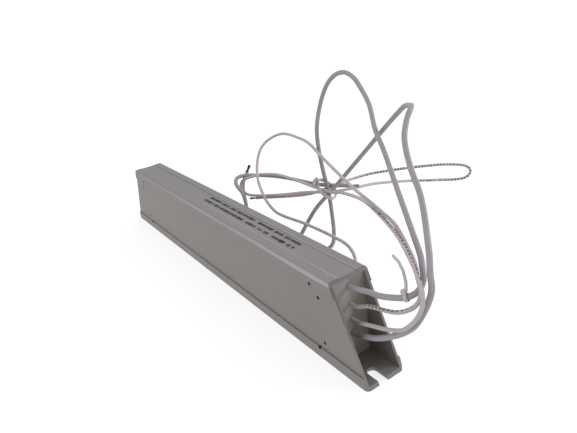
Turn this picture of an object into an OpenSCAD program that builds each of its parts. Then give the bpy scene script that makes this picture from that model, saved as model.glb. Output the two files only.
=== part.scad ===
// Wire-wound power resistor in a tall aluminium housing with raked ends.
// X runs along the housing, with the leads at +X. Y runs across it, and Z is up from the base.
// The origin is the centre of the base's underside.

/* [Housing] */
// Length along the base
base_length = 488; // [380:1:600]
// Length along the top, shorter because both ends are raked
top_length = 417; // [360:1:470]
// Width across the housing
width = 38; // [36:1:44]
// Height from the base's underside to the top
height = 80; // [76:1:90]
// Thickness of the extruded walls, base and top
wall = 3.2; // [2.6:0.1:3.6]
// Radius of the two long top edges
edge_radius = 3; // [1:0.5:3]
// Radius of the base's corners, seen from above
corner_radius = 4; // [2:0.5:6]
// How far each wide face is set back between its two bands
panel_depth = 1.2; // [0.6:0.1:1.4]
// Height of the proud band along the foot of each wide face
foot_band = 10; // [6:1:14]
// Height above the base at which the proud top band starts
top_band = 68; // [60:1:70]
// Width of the shallow channel along the top
channel_width = 18; // [10:1:24]
// Depth of the shallow channel along the top
channel_depth = 0.5; // [0.3:0.1:1.2]

/* [Fixing slots] */
// Width of the open-ended slot at each end of the base
slot_width = 9; // [6.5:0.5:11]
// Length of each slot from the tip of the base to its round inner end
slot_length = 17; // [12:1:20]
// How far the slots lie from the centre line
slot_offset = -2.5; // [-4:0.5:4]

/* [Closed ends] */
// Distance from the middle of the housing to the outer face of each end plug
plug_face = 209; // [200:1:212]
// Thickness of each cement end plug
plug_thickness = 20; // [16:1:24]
// Thickness of the fibre barrier behind each plug
barrier = 2; // [1:0.5:3]
// Diameter of the punch marks that lock the plugs
stake_diameter = 2.6; // [1.6:0.2:3.4]
// Depth of the punch marks
stake_depth = 1.2; // [0.6:0.1:1.4]

/* [Elements] */
// Diameter of each ceramic core
core_diameter = 20; // [16:1:21]
// Length of each ceramic core
core_length = 320; // [240:5:324]
// Diameter over each winding
winding_diameter = 24; // [22:0.5:24.5]
// Length of each winding
winding_length = 296; // [200:4:300]
// Distance between the ridges of a winding
winding_pitch = 8; // [4:1:20]
// Height of the lower core's axis
lower_core = 22; // [20:1:24]
// Height of the upper core's axis
upper_core = 60; // [56:1:62]

/* [Thermal switch] */
// Length of the switch case
switch_length = 20; // [14:1:22]
// Width of the switch case
switch_width = 10; // [6:1:12]
// Height of the switch case without its metal cap
switch_height = 5; // [4:0.5:6]

/* [Leads] */
// Outer diameter of each power lead
power_lead = 4.4; // [3.6:0.2:4.6]
// Outer diameter of each thermal switch lead
switch_lead = 3.2; // [2.4:0.2:3.4]
// Height at which the upper power lead leaves the plug
power_upper_z = 70; // [68:1:71]
// Height at which the upper switch lead leaves the plug
switch_upper_z = 54; // [52:1:55]
// Height at which the lower switch lead leaves the plug
switch_lower_z = 40; // [38:1:42]
// Height at which the lower power lead leaves the plug
power_lower_z = 27; // [25:1:29]
// Length of bare conductor at the free end of each lead
bare_length = 9; // [4:1:12]
// Width of the strap that ties the leads
tie_width = 3.6; // [2.4:0.2:4.8]

/* [Hidden] */

$fn = 64;
gap = 0.1;             // clearance between pieces that are packed together
over = 1;              // how far a cutter runs past what it cuts
half_base = base_length / 2;
half_top = top_length / 2;
inner_width = width - 2 * wall;
inner_height = height - 2 * wall;
cavity_half = plug_face - plug_thickness - barrier;     // sand ends here
cap_wall = 1.5;
cap_reach = 8;         // how far a cap covers its core
cap_diameter = core_diameter + 2 * cap_wall;
tab_thickness = 1.2;
tab_width = 7;
crimp_length = 12;
crimp_x = cavity_half - gap - crimp_length;
power_conductor = 2.4;
switch_conductor = 1.4;
ring_spacing = 20;     // a lead's tube has a ring at least this often
link_x = core_length / 2 + cap_wall;
blade_x = 158;         // the switch case ends here and its blades begin
blade_thickness = 0.8;
liner = 0.5;

// Places of the punch marks at one end of a wide face: [distance from the middle, height]
STAKES = [[184, 69.3], [192, 59.5], [194, 17.2], [187, 9.6]];

// Routes of the four leads: each starts at its crimp, runs straight out through the plug, then loops.
POWER_UPPER_ROUTE = [
    [cavity_half, 0, power_upper_z], [plug_face, 0, power_upper_z], [plug_face + 7, 0, power_upper_z],
    [230, 1, 73], [243, 0, 76],
    [256, 1, 80], [265, 4, 83], [270, 9, 87], [270, 15, 93], [265, 20, 98], [257, 27, 102],
    [242, 37, 108], [204, 62, 122], [165, 85, 145], [145, 95, 158], [126, 107, 175],
    [111, 112, 187], [99, 114, 196], [86, 114, 200], [75, 111, 197], [66, 107, 187],
    [58, 103, 168], [54, 99, 145], [52, 100, 121], [53, 102, 97], [55, 104, 76],
    [56, 105, 56], [56, 105, 22], [54, 102, 9], [47, 95, 3], [34, 91, 3],
    [-185, 92, 3], [-201, 79.5, 3], [-185, 67, 3], [-124, 71, 3], [-103, 75, 5],
    [-92, 76, 13], [-86, 75, 28], [-85, 75.5, 58], [-76.5, 80, 76.5],
];
POWER_LOWER_ROUTE = [
    [cavity_half, 0, power_lower_z], [plug_face, 0, power_lower_z], [plug_face + 7, 0, power_lower_z],
    [231, -4, 36], [243, -5, 42],
    [256, -4, 50], [268, -2, 59], [277, 1, 70], [282, 9, 91], [277, 14, 103], [271, 20, 114],
    [247, 40, 138], [228, 50, 155], [213, 61, 169], [207, 70, 180],
    [204, 78, 187], [195, 87, 186], [180, 94, 181], [111, 111, 127], [85, 110, 102],
    [67, 101, 80], [45, 91, 54], [25, 76, 16], [14, 70, 5], [-4, 65, 3],
    [-90, 61, 3], [-107, 56, 3], [-114, 45, 3], [-107, 34, 3], [-90, 30, 3],
    [-62, 33, 7], [-37, 42, 24], [-32, 47, 44], [-40, 51, 63], [-57, 52, 74],
    [-63, 60, 78], [-56, 73, 78], [-20, 92, 78], [38, 105, 78], [76, 119, 80.9],
];
SWITCH_UPPER_ROUTE = [
    [cavity_half, 0, switch_upper_z], [plug_face, 0, switch_upper_z], [plug_face + 7, 0, switch_upper_z],
    [230, 0, 61], [259, -2, 71],
    [270, 0, 77], [276, 3, 84], [276, 6, 91], [270, 10, 97], [261, 17, 102], [248, 25, 105],
    [231, 35, 107], [212, 46, 107], [188, 56, 106], [160, 68, 104], [134, 76, 105],
    [84, 91, 111], [63, 92, 121], [40, 97, 127], [8, 106, 126], [-20, 104, 127],
    [-36, 96, 121], [-43, 86, 111], [-42, 77, 95], [-32, 69, 79], [-17, 64, 67],
    [1, 60, 59], [21, 59, 54], [63, 64, 53], [116, 63, 54], [136, 61, 53],
    [150, 56, 48], [158, 47, 38], [157, 38, 24], [149, 31, 11], [133, 27, 3],
    [100, 25, 2], [-90, 23, 2],
];
SWITCH_LOWER_ROUTE = [
    [cavity_half, 0, switch_lower_z], [plug_face, 0, switch_lower_z], [plug_face + 7, 0, switch_lower_z],
    [230, -4, 47], [266, -5, 61], [277, -3, 72], [282, 0, 84], [281, 2, 95], [274, 6, 101], [263, 13, 104],
    [230, 31, 109], [180, 53, 109], [151, 66, 104], [92, 92, 86], [71, 96, 80],
    [53, 94, 80], [-12, 88, 83], [-36, 78, 82], [-50, 70, 78],
    [-59, 65, 74], [-64, 62, 68], [-60, 61, 61], [-48, 64, 57], [-10, 82, 61], [24, 96, 68],
    [55, 109, 72], [65, 128, 72], [66, 163, 67], [74, 207, 58], [86, 238, 52],
    [98, 268, 47], [102, 277, 50], [98, 283, 55], [88, 281, 58],
    [68, 257, 61], [46, 181, 70], [49, 139, 75], [51, 113, 76], [19, 99, 63],
    [-42, 68.5, 53.2],
];
// The tail of the small tie, which curls up from the upper power lead's first bend
TAIL_ROUTE = [[265, 4, 88], [264, 5, 94], [261, 6, 101], [255, 8, 105], [248, 10, 106]];
BUNDLE_CENTRE = [54, 103, 77];
BUNDLE_TURN = [0, 45, 41];
tie_radius = 11.6;      // the strap's round sides
tie_flat = 6;           // the straight run between them
strap = 1.2;
LEAD_TIE_CENTRE = [265, 4, 83];
LEAD_TIE_TURN = [0, 66, 30];

// ---- Shared shapes ----

// A 2D rectangle with two or four rounded corners, built of true arcs
module rounded_rectangle(size, r) {
    translate([r, 0]) square([size[0] - 2 * r, size[1]]);
    translate([0, r]) square([size[0], size[1] - 2 * r]);
    for (x = [r, size[0] - r], y = [r, size[1] - r]) translate([x, y]) circle(r);
}

// Extrudes a shape drawn in Y and Z along X, from one distance to another
module along_x(from, to) {
    translate([from, 0, 0]) rotate([90, 0, 90]) linear_extrude(to - from) children();
}

// A round bar along X at a given height
module bar_x(d, from, to, z) {
    translate([from, 0, z]) rotate([0, 90, 0]) cylinder(d = d, h = to - from);
}

// Turns a shape that points up +Z so that it points from one point to another
module aimed(from, to) {
    v = to - from;
    translate(from) rotate([0, acos(v[2] / norm(v)), atan2(v[1], v[0])]) children();
}

function unit(v) = v / norm(v);
function tangent(p, i) = unit(p[min(i + 1, len(p) - 1)] - p[max(i - 1, 0)]);

// A point on the smooth curve between route points i and i + 1
function between(p, i, t) = let(h = norm(p[i + 1] - p[i]))
    (2 * t ^ 3 - 3 * t ^ 2 + 1) * p[i] + (t ^ 3 - 2 * t ^ 2 + t) * h * tangent(p, i)
    + (3 * t ^ 2 - 2 * t ^ 3) * p[i + 1] + (t ^ 3 - t ^ 2) * h * tangent(p, i + 1);

// The whole smooth curve, with extra points on the long stretches
function smooth(p) = [
    for (i = [0:len(p) - 2])
        let(steps = ceil(norm(p[i + 1] - p[i]) / ring_spacing))
            for (k = [0:steps - 1]) between(p, i, k / steps),
    p[len(p) - 1],
];

// One sideways direction for each point, carried along the curve without twist
function sideways(p, i = 0, last = [0, 1, 0]) = i == len(p) ? [] :
    let(t = tangent(p, i), n = unit(last - (last * t) * t))
        concat([n], sideways(p, i + 1, n));

// A tube of a given diameter along a route, as one closed mesh
module tube(route, d, sides) {
    path = smooth(route);
    side = sideways(path);
    count = len(path);
    points = [
        for (i = [0:count - 1], k = [0:sides - 1])
            let(a = 360 * k / sides)
                path[i] + d / 2 * (cos(a) * side[i] + sin(a) * cross(tangent(path, i), side[i])),
    ];
    walls = [
        for (i = [0:count - 2], k = [0:sides - 1])
            let(a = i * sides + k, b = i * sides + (k + 1) % sides)
                [a, a + sides, b + sides, b],
    ];
    first = [for (k = [0:sides - 1]) k];
    last = [for (k = [sides - 1:-1:0]) (count - 1) * sides + k];
    polyhedron(points, concat(walls, [first, last]));
}

// ---- Housing ----

// Cross-section of the extrusion, with its bands, its top channel and its rectangular bore
module profile() {
    shoulder = width / 2 - edge_radius;
    difference() {
        union() {
            translate([-width / 2, 0]) square([width, height - edge_radius]);
            translate([-shoulder, 0]) square([2 * shoulder, height]);
            for (side = [-1, 1]) translate([side * shoulder, height - edge_radius]) circle(edge_radius);
        }
        for (side = [-1, 1])
            translate([side * width / 2, (foot_band + top_band) / 2])
                square([2 * panel_depth, top_band - foot_band], center = true);
        translate([-channel_width / 2, height - channel_depth]) square([channel_width, 2 * channel_depth]);
        translate([-inner_width / 2, wall]) square([inner_width, inner_height]);
    }
}

// Side view of the housing, whose ends lean inwards to the top
module raked_side() {
    rotate([90, 0, 0])
        linear_extrude(width + 2 * over, center = true)
            polygon([[-half_base, 0], [half_base, 0], [half_top, height], [-half_top, height]]);
}

// One slot, open at the +X tip of the base
module open_slot() {
    inner_end = half_base - slot_length + slot_width / 2;
    translate([inner_end, slot_offset, -over]) cylinder(d = slot_width, h = wall + 2 * over);
    translate([inner_end, slot_offset - slot_width / 2, -over])
        cube([slot_length + over, slot_width, wall + 2 * over]);
}

// The punch marks on both wide faces at both ends
module stake_marks() {
    for (end = [-1, 1], side = [-1, 1], mark = STAKES)
        translate([end * mark[0], side * (width / 2 + 0.01), mark[1]])
            rotate([side * 90, 0, 0])
                cylinder(d1 = stake_diameter, d2 = 0.8 * stake_diameter, h = panel_depth + stake_depth);
}

module housing() {
    color("#8b8886")
        difference() {
            intersection() {
                along_x(-half_base, half_base) profile();
                raked_side();
                translate([-half_base, -width / 2, 0])
                    linear_extrude(height) rounded_rectangle([base_length, width], corner_radius);
            }
            open_slot();
            mirror([1, 0, 0]) open_slot();
            stake_marks();
        }
}

// ---- Fill and insulation ----

module mica_liner(side) {
    color("#b9a878")
        translate([-cavity_half, side * (inner_width / 2 - gap - liner / 2) - liner / 2, wall + gap])
            cube([2 * cavity_half, liner, inner_height - 2 * gap]);
}

module mica_liner_near() mica_liner(-1);
module mica_liner_far() mica_liner(1);

// Quartz sand packed round the elements, open where the terminals and the switch sit
module sand_fill() {
    fill_width = inner_width - 2 * liner - 4 * gap;
    pocket = core_length / 2 + 2 * cap_wall + 1;
    color("#cdbf9b")
        difference() {
            translate([-cavity_half, -fill_width / 2, wall + gap])
                cube([2 * cavity_half, fill_width, inner_height - 2 * gap]);
            for (z = [lower_core, upper_core]) bar_x(winding_diameter + 1, -pocket, pocket, z);
            translate([core_length / 2, -6, lower_core - 5]) cube([cavity_half, 12, power_upper_z - lower_core + 8]);
            translate([-pocket - tab_thickness, -6, lower_core - 6])
                cube([cap_wall * 2 + 2 * tab_thickness, 12, upper_core - lower_core + 12]);
            translate([136, -6, 36]) cube([cavity_half - 136, 12, 12]);
        }
}

// ---- Heating elements ----

module core(z) {
    color("#e9e3d6")
        difference() {
            bar_x(core_diameter, -core_length / 2, core_length / 2, z);
            bar_x(core_diameter / 3, -core_length / 2 - over, core_length / 2 + over, z);
        }
}

module core_upper() core(upper_core);
module core_lower() core(lower_core);

// A ridged sleeve: one turned profile with a ridge for each turn of the resistance ribbon
module winding(z) {
    inner = core_diameter / 2 + gap / 2;
    outer = winding_diameter / 2;
    turns = floor(winding_length / winding_pitch);
    ridges = [
        for (i = [0:turns - 1]) each [
            [outer, (i + 0.1) * winding_pitch],
            [outer, (i + 0.7) * winding_pitch],
            [outer - 0.9, (i + 0.8) * winding_pitch],
            [outer - 0.9, (i + 1) * winding_pitch],
        ],
    ];
    color("#8f7f6d")
        translate([-turns * winding_pitch / 2, 0, z])
            rotate([0, 90, 0])
                rotate_extrude()
                    polygon(concat([[inner, 0], [outer - 0.9, 0]], ridges, [[inner, turns * winding_pitch]]));
}

module winding_upper() winding(upper_core);
module winding_lower() winding(lower_core);

// A metal cap pushed over the end of a core
module cap(end, z) {
    mirror([end < 0 ? 1 : 0, 0, 0])
        difference() {
            bar_x(cap_diameter, core_length / 2 - cap_reach, core_length / 2 + cap_wall, z);
            bar_x(core_diameter + gap, core_length / 2 - cap_reach - over, core_length / 2, z);
        }
}

// A cap at the lead end carries a tab, level with its lead, for the crimp
module front_cap(z, lead_z) {
    color("#b7b3a6") {
        cap(1, z);
        translate([core_length / 2 + cap_wall / 2, -tab_width / 2, lead_z - tab_thickness])
            cube([crimp_x - core_length / 2 - cap_wall, tab_width, tab_thickness]);
    }
}

module front_cap_upper() front_cap(upper_core, power_upper_z);
module front_cap_lower() front_cap(lower_core, power_lower_z);
module rear_cap_upper() color("#b7b3a6") cap(-1, upper_core);
module rear_cap_lower() color("#b7b3a6") cap(-1, lower_core);

// The strap that joins the two elements in series at the blind end
module series_link() {
    color("#b7b3a6")
        translate([-link_x - tab_thickness, -tab_width / 2, lower_core - 5])
            cube([tab_thickness, tab_width, upper_core - lower_core + 10]);
}

// A crimp: a barrel in line with its lead, and a tongue that lies on a tab or blade
module crimp(lead_z, barrel, tongue) {
    color("#b98a5c") {
        bar_x(barrel, crimp_x, crimp_x + crimp_length, lead_z);
        translate([crimp_x - tongue, -tab_width / 4, lead_z])
            cube([tongue + over, tab_width / 2, tab_thickness]);
    }
}

module power_crimp_upper() crimp(power_upper_z, 5, 8);
module power_crimp_lower() crimp(power_lower_z, 5, 8);

// ---- Thermal switch ----

switch_x = blade_x - switch_length;
switch_base = (lower_core + upper_core) / 2 - 4;

module switch_case() {
    color("#2f3033")
        translate([switch_x, -switch_width / 2, switch_base])
            cube([switch_length, switch_width, switch_height]);
}

module switch_cap() {
    color("#c9c9c6")
        translate([switch_x + 3, -switch_width / 2 + 1.5, switch_base + switch_height])
            cube([switch_length - 6, switch_width - 3, 1.5]);
}

// A bent blade from the switch case to the height of its lead
module switch_blade(z_from, lead_z) {
    bend_x = blade_x + 5;
    low = min(z_from, lead_z - blade_thickness);
    high = max(z_from + blade_thickness, lead_z);
    color("#c7b370")
        translate([0, 1.5, 0])
            rotate([90, 0, 0])
                linear_extrude(3) {
                    translate([blade_x, z_from]) square([5 + blade_thickness, blade_thickness]);
                    translate([bend_x, low]) square([blade_thickness, high - low]);
                    translate([bend_x, lead_z - blade_thickness])
                        square([crimp_x - bend_x - 1, blade_thickness]);
                }
}

module switch_blade_upper() switch_blade(switch_base + switch_height - 1, switch_upper_z);
module switch_blade_lower() switch_blade(switch_base + 0.5, switch_lower_z);
module switch_crimp_upper() crimp(switch_upper_z, 3.6, 6);
module switch_crimp_lower() crimp(switch_lower_z, 3.6, 6);

// ---- Closed ends ----

// The four holes through which the leads run
module lead_holes() {
    for (z = [power_upper_z, power_lower_z])
        bar_x(power_lead + 2 * gap, cavity_half - over, plug_face + over, z);
    for (z = [switch_upper_z, switch_lower_z])
        bar_x(switch_lead + 2 * gap, cavity_half - over, plug_face + over, z);
}

// A block that fills the housing's bore between two distances from the middle
module bore_block(from, to) {
    translate([from, -inner_width / 2, wall]) cube([to - from, inner_width, inner_height]);
}

module front_barrier() {
    color("#e4dfd2")
        difference() {
            bore_block(cavity_half, cavity_half + barrier);
            lead_holes();
        }
}

module rear_barrier() {
    color("#e4dfd2") bore_block(-cavity_half - barrier, -cavity_half);
}

module front_plug() {
    color("#9a9792")
        difference() {
            bore_block(plug_face - plug_thickness, plug_face);
            lead_holes();
        }
}

module rear_plug() {
    color("#9a9792") bore_block(-plug_face, plug_thickness - plug_face);
}

// ---- Leads ----

module power_lead_upper() color("#8f8a92") tube(POWER_UPPER_ROUTE, power_lead, 10);
module power_lead_lower() color("#8f8a92") tube(POWER_LOWER_ROUTE, power_lead, 10);
module switch_lead_upper() color("#b8b2a8") tube(SWITCH_UPPER_ROUTE, switch_lead, 8);
module switch_lead_lower() color("#b8b2a8") tube(SWITCH_LOWER_ROUTE, switch_lead, 8);

// The bare strands at a lead's free end, in line with the end of its tube
module bare_end(route, d) {
    path = smooth(route);
    last = len(path) - 1;
    color("#a9683c") aimed(path[last], 2 * path[last] - path[last - 1]) cylinder(d = d, h = bare_length);
}

module power_end_upper() bare_end(POWER_UPPER_ROUTE, power_conductor);
module power_end_lower() bare_end(POWER_LOWER_ROUTE, power_conductor);
module switch_end_upper() bare_end(SWITCH_UPPER_ROUTE, switch_conductor);
module switch_end_lower() bare_end(SWITCH_LOWER_ROUTE, switch_conductor);

// ---- Ties ----

// The outline of the strap: two half circles joined by straight sides
module strap_outline(r) {
    for (y = [-1, 1]) translate([0, y * tie_flat / 2]) circle(r);
    square([2 * r, tie_flat], center = true);
}

// A strap closed round the middle of the bundle, with its lock and its cut tail
module bundle_tie() {
    outside = tie_radius + strap;
    color("#e6e2dc")
        translate(BUNDLE_CENTRE) rotate(BUNDLE_TURN) rotate(180) {
            linear_extrude(tie_width, center = true)
                difference() {
                    strap_outline(outside);
                    strap_outline(tie_radius);
                }
            translate([outside - 0.2, -2.6, -tie_width / 2 - 0.6]) cube([4.4, 5.2, tie_width + 1.2]);
            translate([outside + 1.4, 2.6, -tie_width / 2]) cube([strap, 12, tie_width]);
        }
}

// A small strap round the upper power lead, with a long tail that was left on
module lead_tie() {
    inner = power_lead / 2 + 0.3;
    color("#e6e2dc") {
        translate(LEAD_TIE_CENTRE) rotate(LEAD_TIE_TURN) {
            difference() {
                cylinder(r = inner + 0.8, h = 2.4, center = true);
                cylinder(r = inner, h = 2.4 + 2 * over, center = true);
            }
            translate([-inner - 3.4, -1.8, -1.6]) cube([3, 3.6, 3.2]);
        }
        tube(TAIL_ROUTE, 2.2, 10);
    }
}

housing();
mica_liner_near();
mica_liner_far();
sand_fill();
core_upper();
core_lower();
winding_upper();
winding_lower();
front_cap_upper();
front_cap_lower();
rear_cap_upper();
rear_cap_lower();
series_link();
power_crimp_upper();
power_crimp_lower();
switch_case();
switch_cap();
switch_blade_upper();
switch_blade_lower();
switch_crimp_upper();
switch_crimp_lower();
front_barrier();
rear_barrier();
front_plug();
rear_plug();
power_lead_upper();
power_lead_lower();
switch_lead_upper();
switch_lead_lower();
power_end_upper();
power_end_lower();
switch_end_upper();
switch_end_lower();
bundle_tie();
lead_tie();
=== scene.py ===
"""Dresses a tall aluminium housed power resistor, whose four flying leads are looped and tied beside it."""

from __future__ import annotations

import logging
import math
from collections.abc import Sequence
from dataclasses import dataclass, field, replace
from enum import Enum
from typing import NamedTuple

import bmesh
import bpy
from bpy.types import Material, Mesh, Node, NodeSocket as Socket, NodeTree, Object
from mathutils import Matrix, Vector


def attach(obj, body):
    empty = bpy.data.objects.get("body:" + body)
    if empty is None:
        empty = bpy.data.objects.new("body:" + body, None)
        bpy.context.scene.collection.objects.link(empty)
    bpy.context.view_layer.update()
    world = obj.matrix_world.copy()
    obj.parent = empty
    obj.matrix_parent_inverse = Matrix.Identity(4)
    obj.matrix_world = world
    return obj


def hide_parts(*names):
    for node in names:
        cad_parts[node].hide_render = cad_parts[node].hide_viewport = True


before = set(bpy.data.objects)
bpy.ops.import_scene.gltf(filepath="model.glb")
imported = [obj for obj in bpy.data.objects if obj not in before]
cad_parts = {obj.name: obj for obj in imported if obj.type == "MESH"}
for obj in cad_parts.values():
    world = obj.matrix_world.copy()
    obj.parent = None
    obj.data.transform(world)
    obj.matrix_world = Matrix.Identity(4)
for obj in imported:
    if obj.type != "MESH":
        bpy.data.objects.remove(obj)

log = logging.getLogger("resistor")

Triple = tuple[float, float, float]
Colour = tuple[float, float, float]
Span = tuple[float, float]
Ports = dict[str, Sequence[str]]

BODY = "root"


# ---- Node trees ----


class Zone(NamedTuple):
    """A stretch between two limits, and half the width of its soft edges."""

    low: float
    high: float
    softness: float


@dataclass
class Graph:
    """A node tree, with short calls that place a node and wire it."""

    tree: NodeTree

    def put(self, kind: str, wires: dict[str | int, object] | None = None, **settings: object) -> Node:
        """Places a node.

        Args:
            kind: The node's type name.
            wires: What each input gets: a socket to link, or a plain value. Colours are made opaque.
            settings: The node's own properties.

        Returns:
            The node.
        """
        node = self.tree.nodes.new(kind)
        for name, value in settings.items():
            setattr(node, name, value)
        for key, value in (wires or {}).items():
            port = node.inputs[key]
            if isinstance(value, Socket):
                self.tree.links.new(value, port)
            else:
                port.default_value = (*value, 1.0) if port.type == "RGBA" else value
        return node

    def get(self, kind: str, wires: dict[str | int, object] | None = None, output: int = 0,
            **settings: object) -> Socket:
        """Places a node as put() does, and returns one of its outputs."""
        return self.put(kind, wires, **settings).outputs[output]

    def math(self, operation: str, *values: Socket | float) -> Socket:
        """Places a Math node."""
        return self.get("ShaderNodeMath", dict(enumerate(values)), operation=operation)

    def product(self, first: Socket, *others: Socket | float) -> Socket:
        """Multiplies masks and shares."""
        for other in others:
            first = self.math("MULTIPLY", first, other)
        return first

    def ramp(self, value: Socket, span: Sequence[Socket | float], result: Span = (0.0, 1.0),
             **settings: object) -> Socket:
        """Maps a value from one span to another, and no further than its ends."""
        return self.get("ShaderNodeMapRange", dict(enumerate((value, *span, *result))), **settings)

    def blend(self, share: Socket, under: Socket | Colour, over: Socket | Colour) -> Socket:
        """Mixes two colours."""
        return self.get("ShaderNodeMix", {0: share, 6: under, 7: over}, 2, data_type="RGBA")

    def noise(self, place: Socket, scale: Socket | float, detail: float, roughness: float = 0.5) -> Socket:
        """Places a noise pattern."""
        return self.get("ShaderNodeTexNoise", {"Vector": place, "Scale": scale, "Detail": detail,
                                               "Roughness": roughness})

    def split(self, vector: Socket) -> tuple[Socket, ...]:
        """Returns a vector's three parts."""
        return tuple(self.put("ShaderNodeSeparateXYZ", {0: vector}).outputs)

    def vector(self, **parts: Socket | float) -> Socket:
        """Makes a vector of its parts: X, Y and Z."""
        return self.get("ShaderNodeCombineXYZ", parts)


class Group(Graph):
    """A node group with named inputs and outputs."""

    def __init__(self, name: str, kind: str, inputs: Ports, outputs: Ports) -> None:
        """Makes the group, empty.

        Args:
            name: The group's name.
            kind: The type of its tree.
            inputs: The names of its inputs, by their type.
            outputs: The names of its outputs, by their type.
        """
        super().__init__(bpy.data.node_groups.new(name, kind))
        for way, ports in (("INPUT", inputs), ("OUTPUT", outputs)):
            for sort, labels in ports.items():
                for label in labels:
                    self.tree.interface.new_socket(label, in_out=way, socket_type="NodeSocket" + sort)
        self._given = self.put("NodeGroupInput")
        self._result = self.put("NodeGroupOutput")

    def __getitem__(self, name: str) -> Socket:
        """Returns what the group is given under a name."""
        return self._given.outputs[name]

    def close(self, results: dict[str, Socket]) -> NodeTree:
        """Wires the group's outputs and returns its tree."""
        for name, socket in results.items():
            self.tree.links.new(socket, self._result.inputs[name])
        return self.tree


class ShaderGroups:
    """The effects that more than one material shares, each built once."""

    KIND = "ShaderNodeTree"
    GRAIN_CONTRAST = (0.3, 0.7)
    GAP_POWER = 0.5

    def __init__(self) -> None:
        """Builds the groups."""
        self.grain = self._grain()
        self.band = self._band()
        self.braid = self._braid()

    def _grain(self) -> NodeTree:
        """Builds drifting colour with fine grain, which can be drawn out along an axis."""
        group = Group("Grain", self.KIND, {
            "Vector": ("Vector", "Stretch"), "Color": ("Colour", "Shade"),
            "Float": ("Scale", "Drift scale", "Fine share", "Rough low", "Rough high"),
        }, {"Color": ("Colour",), "Float": ("Roughness", "Height")})
        place = group.get("ShaderNodeVectorMath", {0: group["Vector"], 1: group["Stretch"]},
                          operation="MULTIPLY")
        fine = group.noise(place, group["Scale"], detail=4.0, roughness=0.6)
        drift = group.noise(group["Vector"], group["Drift scale"], detail=3.0)
        share = group.get("ShaderNodeMix", {0: group["Fine share"], 2: drift, 3: fine})
        colour = group.blend(group.ramp(share, self.GRAIN_CONTRAST), group["Colour"], group["Shade"])
        rough = group.get("ShaderNodeMix", {0: fine, 2: group["Rough low"], 3: group["Rough high"]})
        return group.close({"Colour": colour, "Roughness": rough, "Height": fine})

    def _band(self) -> NodeTree:
        """Builds a soft mask that is 1 where a value lies between two limits."""
        group = Group("Band", self.KIND, {"Float": ("Value", "Low", "High", "Softness")},
                      {"Float": ("Mask",)})
        slopes = []
        for limit, result in (("Low", (0.0, 1.0)), ("High", (1.0, 0.0))):
            span = [group.math(way, group[limit], group["Softness"]) for way in ("SUBTRACT", "ADD")]
            slopes.append(group.ramp(group["Value"], span, result, interpolation_type="SMOOTHSTEP"))
        return group.close({"Mask": group.product(*slopes)})

    def _braid(self) -> NodeTree:
        """Builds yarns crossing round a tube, whose map runs round it in U and along it, in metres, in V."""
        group = Group("Braid", self.KIND, {"Vector": ("Vector",), "Float": ("Yarns", "Pitch")},
                      {"Float": ("Height", "Gap")})
        u, v, _ = group.split(group["Vector"])
        around = group.product(u, group["Yarns"])
        along = group.math("DIVIDE", v, group["Pitch"])
        ridges = []
        for way in ("ADD", "SUBTRACT"):
            turn = group.product(group.math(way, around, along), math.pi)
            ridges.append(group.math("ABSOLUTE", group.math("SINE", turn)))
        height = group.math("MAXIMUM", *ridges)
        gap = group.math("SUBTRACT", 1.0, group.math("POWER", height, self.GAP_POWER))
        return group.close({"Height": height, "Gap": gap})


# ---- Finishes ----


@dataclass
class Look(Graph):
    """A material's nodes, with where its pattern lies and its colour, gloss and relief so far."""

    groups: ShaderGroups
    place: Socket | None = None
    colour: Socket | None = None
    rough: Socket | None = None
    height: Socket | None = None

    def effect(self, group: NodeTree, wires: dict[str, object]) -> Sequence[Socket]:
        """Places one of the shared effects and returns its outputs."""
        return self.put("ShaderNodeGroup", wires, node_tree=group).outputs

    def mask(self, value: Socket, zone: Zone, origin: float = 0.0) -> Socket:
        """Returns a soft mask that is 1 where a value, measured from an origin, lies in a zone."""
        low, high = origin + zone.low, origin + zone.high
        wires = {"Value": value, "Low": low, "High": high, "Softness": zone.softness}
        return self.effect(self.groups.band, wires)[0]

    def paint(self, share: Socket, tone: Socket | Colour) -> None:
        """Lays a tone over the colour so far."""
        self.colour = self.blend(share, self.colour, tone)


@dataclass(frozen=True)
class Finish:
    """A surface whose colour drifts between two tones, with grain in its gloss and in its relief."""

    slot: str
    colour: Colour
    shade: Colour
    scale: float = 900.0
    stretch: Triple = (1.0, 1.0, 1.0)
    drift_scale: float = 12.0
    fine_share: float = 0.35
    roughness: Span = (0.45, 0.65)
    metallic: float = 0.0
    relief: float = 0.00005
    coat: float = 0.0
    specular: float = 0.5

    def build(self, groups: ShaderGroups) -> Material:
        """Makes the material from its nodes and the shared effects."""
        material = bpy.data.materials.new(self.slot)
        material.use_nodes = True
        look = Look(material.node_tree, groups)
        look.place = self.coordinates(look)
        look.colour, look.rough, look.height = look.effect(groups.grain, {
            "Vector": look.place, "Stretch": self.stretch, "Scale": self.scale,
            "Drift scale": self.drift_scale, "Colour": self.colour, "Shade": self.shade,
            "Fine share": self.fine_share, "Rough low": self.roughness[0], "Rough high": self.roughness[1]})
        self.detail(look)
        shader = look.tree.nodes["Principled BSDF"]
        for name, value in (("Metallic", self.metallic), ("Coat Weight", self.coat),
                            ("Specular IOR Level", self.specular)):
            shader.inputs[name].default_value = value
        normal = look.get("ShaderNodeBump", {"Strength": 1.0, "Distance": self.relief, "Height": look.height})
        for name, socket in (("Base Color", look.colour), ("Roughness", look.rough), ("Normal", normal)):
            look.tree.links.new(socket, shader.inputs[name])
        return material

    def coordinates(self, look: Look) -> Socket:
        """Returns the coordinates that the pattern reads: the piece's own, in metres."""
        return look.put("ShaderNodeTexCoord").outputs["Object"]

    def detail(self, look: Look) -> None:
        """Adds what this kind of surface has beyond its grain: nothing, where the surface is plain."""


@dataclass(frozen=True)
class PlainMetal(Finish):
    """Bare metal as it is stamped or drawn."""

    scale: float = 800.0
    roughness: Span = (0.3, 0.45)
    metallic: float = 1.0


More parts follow.
